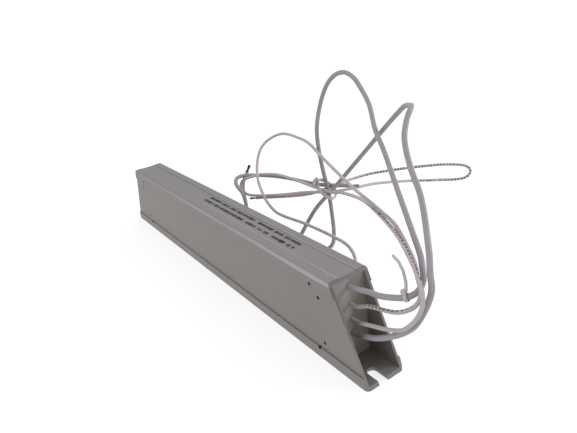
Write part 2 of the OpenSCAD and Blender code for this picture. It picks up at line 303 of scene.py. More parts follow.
@dataclass(frozen=True)
class AnodisedExtrusion(Finish):
    """Matte anodising over die lines, with painted highlights along the two long top edges and the channel's
    crests, painted shade under the top band, in the bore and in the stake pits, and a top painted darker
    toward the blind end.

    A zone is measured from the face or edge that its comment names.
    """

    top: float = 0.080
    half_width: float = 0.019
    half_channel: float = 0.009
    half_base: float = 0.244
    rake: float = 35.5 / 80.0
    wall: float = 0.0032
    band_edge: float = 0.068

    top_tone: Colour = (0.203, 0.188, 0.199)
    # Painted shade: the top is painted toward this darker tone at the blind end.
    blind_top_shade_tone: Colour = (0.158, 0.149, 0.151)
    top_skin: Zone = Zone(-0.0016, 0.0020, 0.0005)  # the top
    toward_leads: Span = (-0.15, 0.17)

    # Painted highlight: a light tone laid on the long top edges and the channel's crests.
    edge_highlight_tone: Colour = (0.52, 0.50, 0.50)
    edge_highlight_share: float = 0.5
    edge_highlight_gloss: float = 0.08
    blind_end_share: float = 0.25
    edge_side: Zone = Zone(-0.0014, 0.0020, 0.0007)  # the side
    edge_top: Zone = Zone(-0.0042, -0.0012, 0.0007)  # the top
    crest_side: Zone = Zone(-0.0001, 0.0008, 0.0003)  # the channel's edge
    crest_top: Zone = Zone(-0.0003, 0.0020, 0.0001)  # the top
    highlight_grain: Span = (0.30, 0.62)

    # Painted shade: a dark line just below the top band's step, on the sides.
    under_band_shade_tone: Colour = (0.105, 0.098, 0.094)
    under_band_shade_share: float = 0.55
    under_band_shade_rise: Zone = Zone(-0.0014, 0.0002, 0.0005)  # the top band's lower edge
    side_skin: Zone = Zone(-0.0018, 0.0020, 0.0002)  # the side

    cut_tone: Colour = (0.105, 0.102, 0.100)
    low_cut_tone: Colour = (0.150, 0.145, 0.142)
    lid_cut_tone: Colour = (0.140, 0.126, 0.125)
    cut_face: Zone = Zone(-0.00035, 0.01, 0.0001)  # the raked end
    lid: Zone = Zone(-0.0003, 0.0052, 0.0003)  # the underside of the top wall
    upward: Span = (0.030, 0.066)

    # Painted shade inside the bore: darker toward the bottom and deeper in, lighter toward the mouth.
    bore_upper_shade_tone: Colour = (0.215, 0.183, 0.155)
    bore_lower_shade_tone: Colour = (0.120, 0.106, 0.092)
    bore_slack: float = 0.0003
    bore_blur: float = 0.0002
    bore_mouth: Span = (0.222, 0.243)
    mouth_share: float = 0.35

    # Painted shade: the stake pits and a ring round them are painted near-black.
    stake_shade_tone: Colour = (0.012, 0.012, 0.012)
    punches: tuple[Span, ...] = ((0.184, 0.0693), (0.192, 0.0595), (0.194, 0.0172), (0.187, 0.0096))
    punch_radius: float = 0.0017
    outer_wall: Zone = Zone(0.0004, 0.0052, 0.0001)  # the inside of the side wall

    def detail(self, look: Look) -> None:
        """Adds the top painted darker toward the blind end as painted shade, painted edge highlights, painted
        shade under the top band, the sawn ends, painted shade in the bore and stake marks painted near-black
        as shade.
        """
        x, y, height = look.split(look.place)
        out, side = (look.math("ABSOLUTE", part) for part in (x, y))
        blind_to_leads = look.ramp(x, self.toward_leads, (self.blind_end_share, 1.0))
        upper = look.ramp(height, self.upward)
        # Painted shade: the top's tone darkens toward the blind end.
        top_tone = look.blend(blind_to_leads, self.blind_top_shade_tone, self.top_tone)
        look.paint(look.mask(height, self.top_skin, self.top), top_tone)
        # The painted edge highlights are broken up by the grain and fade toward the blind end.
        highlight_breakup = look.product(look.ramp(look.height, self.highlight_grain), blind_to_leads)
        self._paint_edge_highlights(look, side, height, highlight_breakup)
        # Painted shade just below the top band's lower edge.
        below_band = look.mask(height, self.under_band_shade_rise, self.band_edge)
        on_side = look.mask(side, self.side_skin, self.half_width)
        look.paint(look.product(below_band, on_side, self.under_band_shade_share), self.under_band_shade_tone)
        reach = look.math("MULTIPLY_ADD", height, self.rake, out)
        sawn = look.blend(upper, self.low_cut_tone, self.cut_tone)
        sawn = look.blend(look.mask(height, self.lid, self.top - self.wall), sawn, self.lid_cut_tone)
        look.paint(look.mask(reach, self.cut_face, self.half_base), sawn)
        # Painted shade in the bore, darker toward the bottom.
        look.paint(self._bore_shade(look, out, side, height), look.blend(upper, self.bore_lower_shade_tone, self.bore_upper_shade_tone))
        # Painted shade in the stake pits.
        look.paint(self._stake_pit_shade(look, out, side, height), self.stake_shade_tone)

    def _paint_edge_highlights(self, look: Look, side: Socket, height: Socket, highlight_breakup: Socket) -> None:
        """Paints highlights on the long top edges and the channel's crests, broken up by the grain and fading
        toward the blind end, and makes them glossier there.
        """
        edge = look.product(look.mask(side, self.edge_side, self.half_width),
                            look.mask(height, self.edge_top, self.top))
        crest = look.product(look.mask(side, self.crest_side, self.half_channel),
                             look.mask(height, self.crest_top, self.top))
        highlit = look.product(look.math("MAXIMUM", edge, crest), highlight_breakup)
        look.paint(look.product(highlit, self.edge_highlight_share), self.edge_highlight_tone)
        look.rough = look.math("SUBTRACT", look.rough, look.product(highlit, self.edge_highlight_gloss))

    def _bore_shade(self, look: Look, out: Socket, side: Socket, height: Socket) -> Socket:
        """Masks the inside of the walls, where painted shade is laid, fading toward their mouth."""
        slack, blur = self.bore_slack, self.bore_blur
        within = look.mask(side, Zone(-self.half_width, slack, blur), self.half_width - self.wall)
        between = look.mask(height, Zone(self.wall - slack, self.top - self.wall + slack, blur))
        return look.product(within, between, look.ramp(out, self.bore_mouth, (1.0, self.mouth_share)))

    def _stake_pit_shade(self, look: Look, out: Socket, side: Socket, height: Socket) -> Socket:
        """Masks the stake marks on the outer sides, which are painted near-black as painted shade in their
        pits and round their rims.
        """
        spot = look.vector(X=out, Z=height)
        marks: Socket | float = 0.0
        for across, up in self.punches:
            away = look.get("ShaderNodeVectorMath", {0: spot, 1: (across, 0.0, up)}, 1, operation="DISTANCE")
            marks = look.math("MAXIMUM", marks, look.math("LESS_THAN", away, self.punch_radius))
        return look.product(marks, look.mask(side, self.outer_wall, self.half_width - self.wall))


@dataclass(frozen=True)
class CastCement(Finish):
    """Grey sealing cement with pores, with a painted shadow of the far wall over its far half."""

    # Painted shade: the pores are painted darker.
    pore_shade_tone: Colour = (0.16, 0.155, 0.15)
    pore_scale: float = 1500.0
    pore_edge: Span = (0.615, 0.675)
    pore_shade_share: float = 0.35
    # Painted shadow: the far half is painted darker, more so lower down.
    cast_shadow_tone: Colour = (0.152, 0.135, 0.119)
    cast_shadow_edge: Span = (-0.0010, 0.0030)
    cast_shadow_ragged: float = 0.002
    cast_shadow_height: Span = (0.030, 0.078)
    cast_shadow_shares: Span = (0.95, 0.7)

    def detail(self, look: Look) -> None:
        """Adds the pores, with painted shade in them, and the painted shadow over the far half."""
        # Painted shade in the pores, which are also sunk in the relief.
        pores = look.ramp(look.noise(look.place, self.pore_scale, detail=2.0), self.pore_edge)
        look.paint(look.product(pores, self.pore_shade_share), self.pore_shade_tone)
        _, y, height = look.split(look.place)
        # Painted shadow over the far half, stronger lower down.
        ragged = look.math("MULTIPLY_ADD", look.height, self.cast_shadow_ragged, y)
        shadowed_half = look.ramp(ragged, self.cast_shadow_edge)
        look.paint(look.product(shadowed_half, look.ramp(height, self.cast_shadow_height, self.cast_shadow_shares)), self.cast_shadow_tone)
        look.height = look.math("SUBTRACT", look.height, pores)


@dataclass(frozen=True)
class WovenSleeve(Finish):
    """A braided tube over a wire: crossing yarns with painted shade in the gaps between them, and tracer
    yarns that show as dashes.
    """

    yarns: float = 8.0
    pitch: float = 0.0030
    # Painted shade in the gaps between the yarns.
    gap_shade_tone: Colour = (0.14, 0.115, 0.12)
    gap_shade_share: float = 0.45
    baked_tone: Colour = (0.30, 0.275, 0.245)
    baked_share: float = 0.0
    baked_reach: Span = (0.070, 0.150)
    tracer_tone: Colour = (0.045, 0.025, 0.03)
    tracer_share: float = 0.85
    tracer_lay: float = 0.5
    tracer_start: float = 0.64
    tracer_width: float = 0.21
    tracer_edge: float = 0.03
    tracer_dash: float = 0.0046
    dash_wobble: float = 7.0
    dash_edge: Span = (-0.35, 0.1)
    tracer_runs: tuple[Span, ...] = ()
    tracer_fade: float = 0.006

    def coordinates(self, look: Look) -> Socket:
        """Returns the tube's own map, which follows it round and along."""
        return look.get("ShaderNodeUVMap", uv_map="sleeve")

    def detail(self, look: Look) -> None:
        """Adds the yarns with painted shade in their gaps, the browning near the closure and the tracer."""
        around, along, _ = look.split(look.place)
        yarn_height, gap = look.effect(look.groups.braid, {
            "Vector": look.place, "Yarns": self.yarns, "Pitch": self.pitch})
        # Painted shade in the gaps between the yarns.
        look.paint(look.product(gap, self.gap_shade_share), self.gap_shade_tone)
        look.paint(look.ramp(along, self.baked_reach, (self.baked_share, 0.0)), self.baked_tone)
        look.paint(self._tracer(look, around, along), self.tracer_tone)
        look.height = yarn_height

    def _tracer(self, look: Look, around: Socket, along: Socket) -> Socket:
        """Masks the tracer: a line winding along the tube, broken into uneven dashes, seen in a few runs."""
        winding = look.math("DIVIDE", along, self.tracer_lay)
        turn = look.math("FRACT", look.math("ADD", look.math("ADD", around, self.tracer_start), winding))
        line = look.ramp(turn, (self.tracer_width, self.tracer_width - self.tracer_edge))
        beat = look.math("SINE", look.product(along, math.tau / self.tracer_dash))
        wobble = look.math("MULTIPLY_ADD", look.height, self.dash_wobble, -self.dash_wobble / 2)
        dash = look.ramp(look.math("ADD", beat, wobble), self.dash_edge)
        shown: Socket | float = 0.0
        for run in self.tracer_runs:
            shown = look.math("MAXIMUM", shown, look.mask(along, Zone(*run, self.tracer_fade)))
        return look.product(line, dash, look.math("MULTIPLY", shown, self.tracer_share))


SWITCH_SLEEVE = WovenSleeve(
    "switch_sleeve", (0.46, 0.405, 0.435), (0.35, 0.305, 0.328), scale=300.0, drift_scale=30.0,
    stretch=(0.01, 1.0, 1.0), roughness=(0.6, 0.8), relief=0.00010, baked_share=0.6,
    tracer_runs=((0.042, 0.118), (0.150, 0.235)))
FINISHES = (
    AnodisedExtrusion("housing", (0.195, 0.178, 0.173), (0.168, 0.157, 0.152),
                      stretch=(0.015, 1.0, 1.0), drift_scale=9.0, fine_share=0.5, roughness=(0.50, 0.64),
                      metallic=0.15, relief=0.00003),
    CastCement("cement", (0.265, 0.248, 0.243), (0.218, 0.204, 0.197), drift_scale=70.0,
               roughness=(0.75, 0.95), relief=0.00008),
    WovenSleeve("power_sleeve", (0.275, 0.256, 0.278), (0.208, 0.194, 0.212), scale=260.0, drift_scale=25.0,
                stretch=(0.01, 1.0, 1.0), roughness=(0.42, 0.55), relief=0.00006, yarns=12.0, pitch=0.0024,
                gap_shade_tone=(0.11, 0.10, 0.115), gap_shade_share=0.28, coat=0.12),
    SWITCH_SLEEVE,
    replace(SWITCH_SLEEVE, slot="switch_sleeve_lower", tracer_runs=((0.128, 0.245), (0.750, 0.990)),
            tracer_start=0.060, tracer_width=0.32, tracer_share=0.9, tracer_dash=0.0040),
    Finish("copper", (0.060, 0.043, 0.036), (0.030, 0.023, 0.020), roughness=(0.6, 0.75), metallic=0.35),
    Finish("copper_clean", (0.33, 0.285, 0.31), (0.25, 0.21, 0.23), roughness=(0.5, 0.65), metallic=0.3),
    Finish("nylon", (0.40, 0.375, 0.39), (0.33, 0.31, 0.325), scale=500.0, roughness=(0.35, 0.5), coat=0.2,
           relief=0.00003),
    Finish("ink", (0.010, 0.010, 0.011), (0.020, 0.020, 0.021), roughness=(0.5, 0.7), specular=0.12),
    Finish("mica", (0.42, 0.34, 0.22), (0.30, 0.24, 0.15), scale=220.0, roughness=(0.3, 0.5)),
    Finish("sand", (0.60, 0.51, 0.38), (0.44, 0.36, 0.26), scale=1500.0, fine_share=0.7,
           roughness=(0.85, 1.0), relief=0.0002),
    Finish("core", (0.80, 0.77, 0.71), (0.70, 0.66, 0.60), scale=600.0, roughness=(0.6, 0.75)),
    Finish("winding", (0.24, 0.20, 0.17), (0.15, 0.12, 0.10), scale=500.0, stretch=(6.0, 1.0, 1.0),
           roughness=(0.35, 0.5), metallic=0.9),
    PlainMetal("steel_caps", (0.46, 0.44, 0.41), (0.36, 0.34, 0.31), scale=700.0),
    PlainMetal("crimps", (0.52, 0.30, 0.17), (0.38, 0.21, 0.12)),
    PlainMetal("switch_cap", (0.55, 0.55, 0.54), (0.45, 0.45, 0.44), roughness=(0.25, 0.4)),
    PlainMetal("blades", (0.60, 0.48, 0.20), (0.48, 0.37, 0.15)),
    Finish("switch_case", (0.03, 0.03, 0.032), (0.02, 0.02, 0.021), roughness=(0.5, 0.65)),
    Finish("barrier", (0.74, 0.71, 0.64), (0.62, 0.59, 0.52), scale=500.0, stretch=(1.0, 0.3, 1.0),
           roughness=(0.85, 1.0), relief=0.0001),
)


class Finishes:
    """Every material of the resistor: one for each material slot, and a few more."""

    def __init__(self) -> None:
        """Builds the shared effects and then each material."""
        groups = ShaderGroups()
        self.materials = {finish.slot: finish.build(groups) for finish in FINISHES}

    def dress(self, piece: Object, name: str) -> None:
        """Gives a piece or a CAD node one material."""
        piece.data.materials.clear()
        piece.data.materials.append(self.materials[name])


# ---- Objects and meshes ----


def add_object(name: str, data: object) -> Object:
    """Puts a new object in the scene."""
    thing = bpy.data.objects.new(name, data)
    bpy.context.scene.collection.objects.link(thing)
    return thing


def place_piece(name: str, mesh: Mesh, nodes: Sequence[str] = ()) -> Object:
    """Puts a finished mesh on the resistor's body.

    Args:
        name: The piece's name.
        mesh: Its mesh, in place.
        nodes: The CAD nodes it stands for.

    Returns:
        The piece.
    """
    piece = add_object(name, mesh)
    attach(piece, BODY)
    if nodes:
        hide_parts(*nodes)
    log.info("%s: %d faces", name, len(mesh.polygons))
    return piece


def modified(mesh: Mesh, kind: str, inputs: dict[str, object] | None = None, **settings: object) -> Mesh:
    """Runs one modifier on a mesh and returns the plain result.

    Args:
        mesh: What the modifier starts from.
        kind: The modifier's type.
        inputs: For a geometry tree, its inputs by name.
        settings: The modifier's own properties.

    Returns:
        The new mesh.
    """
    holder = add_object("holder", mesh)
    modifier = holder.modifiers.new("Shape", kind)
    for name, value in settings.items():
        setattr(modifier, name, value)
    for item in modifier.node_group.interface.items_tree if inputs else ():
        if item.item_type == "SOCKET" and item.in_out == "INPUT" and item.name in inputs:
            modifier[item.identifier] = inputs[item.name]
    bpy.context.view_layer.update()
    done = bpy.data.meshes.new_from_object(holder.evaluated_get(bpy.context.evaluated_depsgraph_get()))
    bpy.data.objects.remove(holder)
    return done


def grown(tree: NodeTree, name: str, inputs: dict[str, object], place: Matrix) -> Mesh:
    """Runs a geometry tree once and returns what it makes, in place, as a plain mesh."""
    mesh = modified(bpy.data.meshes.new("holder"), "NODES", inputs, node_group=tree)
    mesh.name = name
    mesh.transform(place)
    return mesh


def softened_copy(node: str, width: float) -> Mesh:
    """Copies a CAD node's mesh and rounds its sharp edges by a small width."""
    weld, flat, sharp = 2e-6, math.radians(0.6), math.radians(32.0)
    form = bmesh.new()
    form.from_mesh(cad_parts[node].data)
    bmesh.ops.remove_doubles(form, verts=form.verts, dist=weld)
    bmesh.ops.dissolve_limit(form, angle_limit=flat, verts=form.verts, edges=form.edges)
    bmesh.ops.recalc_face_normals(form, faces=form.faces)
    mesh = bpy.data.meshes.new(node + "_softened")
    form.to_mesh(mesh)
    form.free()
    mesh.shade_smooth()
    done = modified(mesh, "BEVEL", width=width, segments=2, limit_method="ANGLE", angle_limit=sharp,
                    use_clamp_overlap=True)
    flatten_normals(done)
    return done


def flatten_normals(mesh: Mesh, reach: float = math.radians(50.0)) -> None:
    """Gives each corner the mean normal of the faces round it, by area, so that flat faces shade as flat.

    Faces that turn away by more than the reach don't count.
    """
    around: dict[int, list] = {}
    for face in mesh.polygons:
        for corner in face.vertices:
            around.setdefault(corner, []).append(face)
    least = math.cos(reach)
    normals = []
    for face in mesh.polygons:
        for corner in face.vertices:
            near = (other for other in around[corner] if other.normal.dot(face.normal) > least)
            normals.append(sum((other.normal * other.area for other in near), Vector()).normalized())
    mesh.normals_split_custom_set(normals)


def smooth_path(points: Sequence[Triple], spacing: float) -> list[Vector]:
    """Draws the smooth curve through a lead's route, the same curve as its solid follows.

    Args:
        points: The route's points.
        spacing: The largest distance between points of the result.

    Returns:
        The curve's points.
    """
    route = [Vector(point) for point in points]
    last = len(route) - 1

    def heading(i: int) -> Vector:
        """Returns the curve's direction at a route point."""
        return (route[min(i + 1, last)] - route[max(i - 1, 0)]).normalized()

    path = []
    for i in range(last):
        reach = (route[i + 1] - route[i]).length
        steps = math.ceil(reach / spacing)
        for k in range(steps):
            t = k / steps
            path.append((2 * t**3 - 3 * t**2 + 1) * route[i] + (t**3 - 2 * t**2 + t) * reach * heading(i)
                        + (3 * t**2 - 2 * t**3) * route[i + 1] + (t**3 - t**2) * reach * heading(i + 1))
    return [*path, route[last]]


def sleeve_mesh(name: str, path: Sequence[Vector], radius: float, sides: int) -> Mesh:
    """Sweeps a closed round tube along a path; its map runs round it in U and along it, in metres, in V.

    Args:
        name: The mesh's name.
        path: The centreline.
        radius: The tube's radius.
        sides: How many faces go round it.

    Returns:
        The mesh.
    """
    form = bmesh.new()
    layer = form.loops.layers.uv.new("sleeve")
    side = Vector((0.0, 1.0, 0.0))
    rings, lengths, length = [], [], 0.0
    for i, point in enumerate(path):
        ahead = (path[min(i + 1, len(path) - 1)] - path[max(i - 1, 0)]).normalized()
        side = (side - side.dot(ahead) * ahead).normalized()
        up = ahead.cross(side)
        length += (point - path[i - 1]).length if i else 0.0
        lengths.append(length)
        rings.append([form.verts.new(point + radius * (math.cos(a) * side + math.sin(a) * up))
                      for a in (math.tau * k / sides for k in range(sides))])
    for i in range(len(rings) - 1):
        for k in range(sides):
            n = (k + 1) % sides
            face = form.faces.new((rings[i][k], rings[i][n], rings[i + 1][n], rings[i + 1][k]))
            face.smooth = True
            corners = ((k, i), (k + 1, i), (k + 1, i + 1), (k, i + 1))
            for loop, (around, row) in zip(face.loops, corners):
                loop[layer].uv = (around / sides, lengths[row])
    form.faces.new(list(reversed(rings[0])))
    form.faces.new(rings[-1])
    mesh = bpy.data.meshes.new(name)
    form.to_mesh(mesh)
    form.free()
    return mesh


# ---- Repeating parts ----


class Growth(Group):
    """A geometry tree that makes one repeating part in the material that it is given."""

    def __init__(self, name: str, **inputs: Sequence[str]) -> None:
        """Makes the tree, empty, with a material beside its own inputs."""
        ports = {**inputs, "Material": ("Material",)}
        super().__init__(name, "GeometryNodeTree", ports, {"Geometry": ("Geometry",)})

    def finish(self, shape: Socket) -> NodeTree:
        """Ends the tree in real geometry with its material."""
        real = self.get("GeometryNodeRealizeInstances", {0: shape})
        return self.close({"Geometry": self.get("GeometryNodeSetMaterial", {
            "Geometry": real, "Material": self["Material"]})})

    def repeat(self, points: Socket, instance: Socket, **wires: object) -> Socket:
        """Puts a copy of a shape at each point."""
        return self.get("GeometryNodeInstanceOnPoints", {"Points": points, "Instance": instance, **wires})

    def sweep(self, curve: Socket, profile: Socket) -> Socket:
        """Sweeps a closed profile along a curve."""
        return self.get("GeometryNodeCurveToMesh", {
            "Curve": curve, "Profile Curve": profile, "Fill Caps": True})

    def row_of_blocks(self, axis: str, **sizes: Socket) -> tuple[Socket, Socket]:
        """Returns a row of points one pitch apart along an axis, and a block of the sizes given."""
        points = self.get("GeometryNodeMeshLine", {
            "Count": self["Count"], "Offset": self.vector(**{axis: self["Pitch"]})})
        return points, self.get("GeometryNodeMeshCube", {"Size": self.vector(**sizes)})

    def random(self, seed: Socket) -> Socket:
        """Draws a random number for each point, from Shortest to 1."""
        return self.get("FunctionNodeRandomValue", {2: self["Shortest"], 3: 1.0, "Seed": seed}, 1,
                        data_type="FLOAT")


class GrowthTrees:
    """The geometry trees that make the resistor's repeating parts."""

    STRAND_SIDES = 8
    STRAND_STEPS = 20
    HEIGHT_SEED = 23.0
    KEPT_SEED = 11.0
    TOOTH_RAKE = 0.35

    def __init__(self) -> None:
        """Builds the trees."""
        self.strands = self._strands()
        self.marks = self._marks()
        self.teeth = self._teeth()

    def _strands(self) -> NodeTree:
        """Builds the twisted strands at a lead's bare end, which points up +Z."""
        growth = Growth("Twisted strands", Int=("Count",),
                        Float=("Length", "Radius", "Splay", "Strand", "Turns"))
        lay = growth.math("SUBTRACT", growth["Radius"], growth["Strand"])
        helix = growth.get("GeometryNodeCurveSpiral", {
            "Resolution": self.STRAND_STEPS, "Rotations": growth["Turns"], "Start Radius": lay,
            "End Radius": growth.product(lay, growth["Splay"]), "Height": growth["Length"]})
        ring = growth.get("GeometryNodeCurvePrimitiveCircle", {
            "Resolution": self.STRAND_SIDES, "Radius": growth["Strand"]})
        index = growth.get("GeometryNodeInputIndex")
        turn = growth.math("DIVIDE", growth.product(index, math.tau), growth["Count"])
        spots = growth.get("GeometryNodePoints", {"Count": growth["Count"]})
        outer = growth.repeat(spots, growth.sweep(helix, ring), Rotation=growth.vector(Z=turn))
        axis = growth.get("GeometryNodeCurvePrimitiveLine", {"End": growth.vector(Z=growth["Length"])})
        joined = growth.put("GeometryNodeJoinGeometry", {0: outer})
        growth.tree.links.new(growth.sweep(axis, ring), joined.inputs[0])
        return growth.finish(joined.outputs[0])

    def _marks(self) -> NodeTree:
        """Builds a row of plain printed dashes along +X, each of its own length and height."""
        growth = Growth("Printed dashes", Int=("Count", "Seed"),
                        Float=("Pitch", "Length", "Width", "Thickness", "Shortest", "Kept"))
        points, dash = growth.row_of_blocks("X", X=growth["Length"], Y=growth["Width"], Z=growth["Thickness"])
        long = growth.random(growth["Seed"])
        tall = growth.random(growth.math("ADD", growth["Seed"], self.HEIGHT_SEED))
        kept = growth.get("FunctionNodeRandomValue", {
            "Probability": growth["Kept"], "Seed": growth.math("ADD", growth["Seed"], self.KEPT_SEED)}, 3,
            data_type="BOOLEAN")
        size = growth.vector(X=long, Y=tall, Z=1.0)
        return growth.finish(growth.repeat(points, dash, Selection=kept, Scale=size))

    def _teeth(self) -> NodeTree:
        """Builds the row of small ramps on a strap's tail, along +Y."""
        growth = Growth("Strap teeth", Int=("Count",), Float=("Pitch", "Height", "Width", "Base"))
        points, tooth = growth.row_of_blocks("Y", X=growth["Height"], Y=growth["Base"], Z=growth["Width"])
        return growth.finish(growth.repeat(points, tooth, Rotation=(0.0, 0.0, self.TOOTH_RAKE)))


# ---- Routes of the leads, in metres ----

POWER_UPPER_ROUTE = (
    (0.187, 0.0, 0.070), (0.209, 0.0, 0.070), (0.216, 0.0, 0.070), (0.230, 0.001, 0.073),
    (0.243, 0.0, 0.076), (0.256, 0.001, 0.080), (0.265, 0.004, 0.083), (0.270, 0.009, 0.087),
    (0.270, 0.015, 0.093), (0.265, 0.020, 0.098), (0.257, 0.027, 0.102), (0.242, 0.037, 0.108),
    (0.204, 0.062, 0.122), (0.165, 0.085, 0.145), (0.145, 0.095, 0.158), (0.126, 0.107, 0.175),
    (0.111, 0.112, 0.187), (0.099, 0.114, 0.196), (0.086, 0.114, 0.200), (0.075, 0.111, 0.197),
    (0.066, 0.107, 0.187), (0.058, 0.103, 0.168), (0.054, 0.099, 0.145), (0.052, 0.100, 0.121),
    (0.053, 0.102, 0.097), (0.055, 0.104, 0.076), (0.056, 0.105, 0.056), (0.056, 0.105, 0.022),
    (0.054, 0.102, 0.009), (0.047, 0.095, 0.003), (0.034, 0.091, 0.003), (-0.185, 0.092, 0.003),
    (-0.201, 0.0795, 0.003), (-0.185, 0.067, 0.003), (-0.124, 0.071, 0.003), (-0.103, 0.075, 0.005),
    (-0.092, 0.076, 0.013), (-0.086, 0.075, 0.028), (-0.085, 0.0755, 0.058), (-0.0765, 0.080, 0.0765),
)
POWER_LOWER_ROUTE = (
    (0.187, 0.0, 0.027), (0.209, 0.0, 0.027), (0.216, 0.0, 0.027), (0.231, -0.004, 0.036),
    (0.243, -0.005, 0.042), (0.256, -0.004, 0.050), (0.268, -0.002, 0.059), (0.277, 0.001, 0.070),
    (0.282, 0.009, 0.091), (0.277, 0.014, 0.103), (0.271, 0.020, 0.114), (0.247, 0.040, 0.138),
    (0.228, 0.050, 0.155), (0.213, 0.061, 0.169), (0.207, 0.070, 0.180), (0.204, 0.078, 0.187),
    (0.195, 0.087, 0.186), (0.180, 0.094, 0.181), (0.111, 0.111, 0.127), (0.085, 0.110, 0.102),
    (0.067, 0.101, 0.080), (0.045, 0.091, 0.054), (0.025, 0.076, 0.016), (0.014, 0.070, 0.005),
    (-0.004, 0.065, 0.003), (-0.090, 0.061, 0.003), (-0.107, 0.056, 0.003), (-0.114, 0.045, 0.003),
    (-0.107, 0.034, 0.003), (-0.090, 0.030, 0.003), (-0.062, 0.033, 0.007), (-0.037, 0.042, 0.024),
    (-0.032, 0.047, 0.044), (-0.040, 0.051, 0.063), (-0.057, 0.052, 0.074), (-0.063, 0.060, 0.078),
    (-0.056, 0.073, 0.078), (-0.020, 0.092, 0.078), (0.038, 0.105, 0.078), (0.076, 0.119, 0.0809),
)
SWITCH_UPPER_ROUTE = (
    (0.187, 0.0, 0.054), (0.209, 0.0, 0.054), (0.216, 0.0, 0.054), (0.230, 0.0, 0.061),
    (0.259, -0.002, 0.071), (0.270, 0.0, 0.077), (0.276, 0.003, 0.084), (0.276, 0.006, 0.091),
    (0.270, 0.010, 0.097), (0.261, 0.017, 0.102), (0.248, 0.025, 0.105), (0.231, 0.035, 0.107),
    (0.212, 0.046, 0.107), (0.188, 0.056, 0.106), (0.160, 0.068, 0.104), (0.134, 0.076, 0.105),
    (0.084, 0.091, 0.111), (0.063, 0.092, 0.121), (0.040, 0.097, 0.127), (0.008, 0.106, 0.126),
    (-0.020, 0.104, 0.127), (-0.036, 0.096, 0.121), (-0.043, 0.086, 0.111), (-0.042, 0.077, 0.095),
    (-0.032, 0.069, 0.079), (-0.017, 0.064, 0.067), (0.001, 0.060, 0.059), (0.021, 0.059, 0.054),
    (0.063, 0.064, 0.053), (0.116, 0.063, 0.054), (0.136, 0.061, 0.053), (0.150, 0.056, 0.048),
    (0.158, 0.047, 0.038), (0.157, 0.038, 0.024), (0.149, 0.031, 0.011), (0.133, 0.027, 0.003),
    (0.100, 0.025, 0.002), (-0.090, 0.023, 0.002),
)
SWITCH_LOWER_ROUTE = (
    (0.187, 0.0, 0.040), (0.209, 0.0, 0.040), (0.216, 0.0, 0.040), (0.230, -0.004, 0.047),
    (0.266, -0.005, 0.061), (0.277, -0.003, 0.072), (0.282, 0.0, 0.084), (0.281, 0.002, 0.095),
    (0.274, 0.006, 0.101), (0.263, 0.013, 0.104), (0.230, 0.031, 0.109), (0.180, 0.053, 0.109),
    (0.151, 0.066, 0.104), (0.092, 0.092, 0.086), (0.071, 0.096, 0.080), (0.053, 0.094, 0.080),
    (-0.012, 0.088, 0.083), (-0.036, 0.078, 0.082), (-0.050, 0.070, 0.078), (-0.059, 0.065, 0.074),
    (-0.064, 0.062, 0.068), (-0.060, 0.061, 0.061), (-0.048, 0.064, 0.057), (-0.010, 0.082, 0.061),
    (0.024, 0.096, 0.068), (0.055, 0.109, 0.072), (0.065, 0.128, 0.072), (0.066, 0.163, 0.067),
    (0.074, 0.207, 0.058), (0.086, 0.238, 0.052), (0.098, 0.268, 0.047), (0.102, 0.277, 0.050),
    (0.098, 0.283, 0.055), (0.088, 0.281, 0.058), (0.068, 0.257, 0.061), (0.046, 0.181, 0.070),
    (0.049, 0.139, 0.075), (0.051, 0.113, 0.076), (0.019, 0.099, 0.063), (-0.042, 0.0685, 0.0532),
)


# ---- Leads and ties ----


@dataclass(frozen=True)
class Wire:
    """What all leads of one kind share: the material slot of their sleeves, and their sizes."""

    slot: str
    sleeve: float
    conductor: float
    strand: float
    splay: float
    sides: int
    strands: int = 8


class LeadKind(Enum):
    """The two kinds of lead."""

    POWER = Wire("power_sleeve", sleeve=0.0044, conductor=0.0024, strand=0.00050, splay=2.0, sides=20)
    SWITCH = Wire("switch_sleeve", sleeve=0.0032, conductor=0.0014, strand=0.00036, splay=3.2, sides=16)


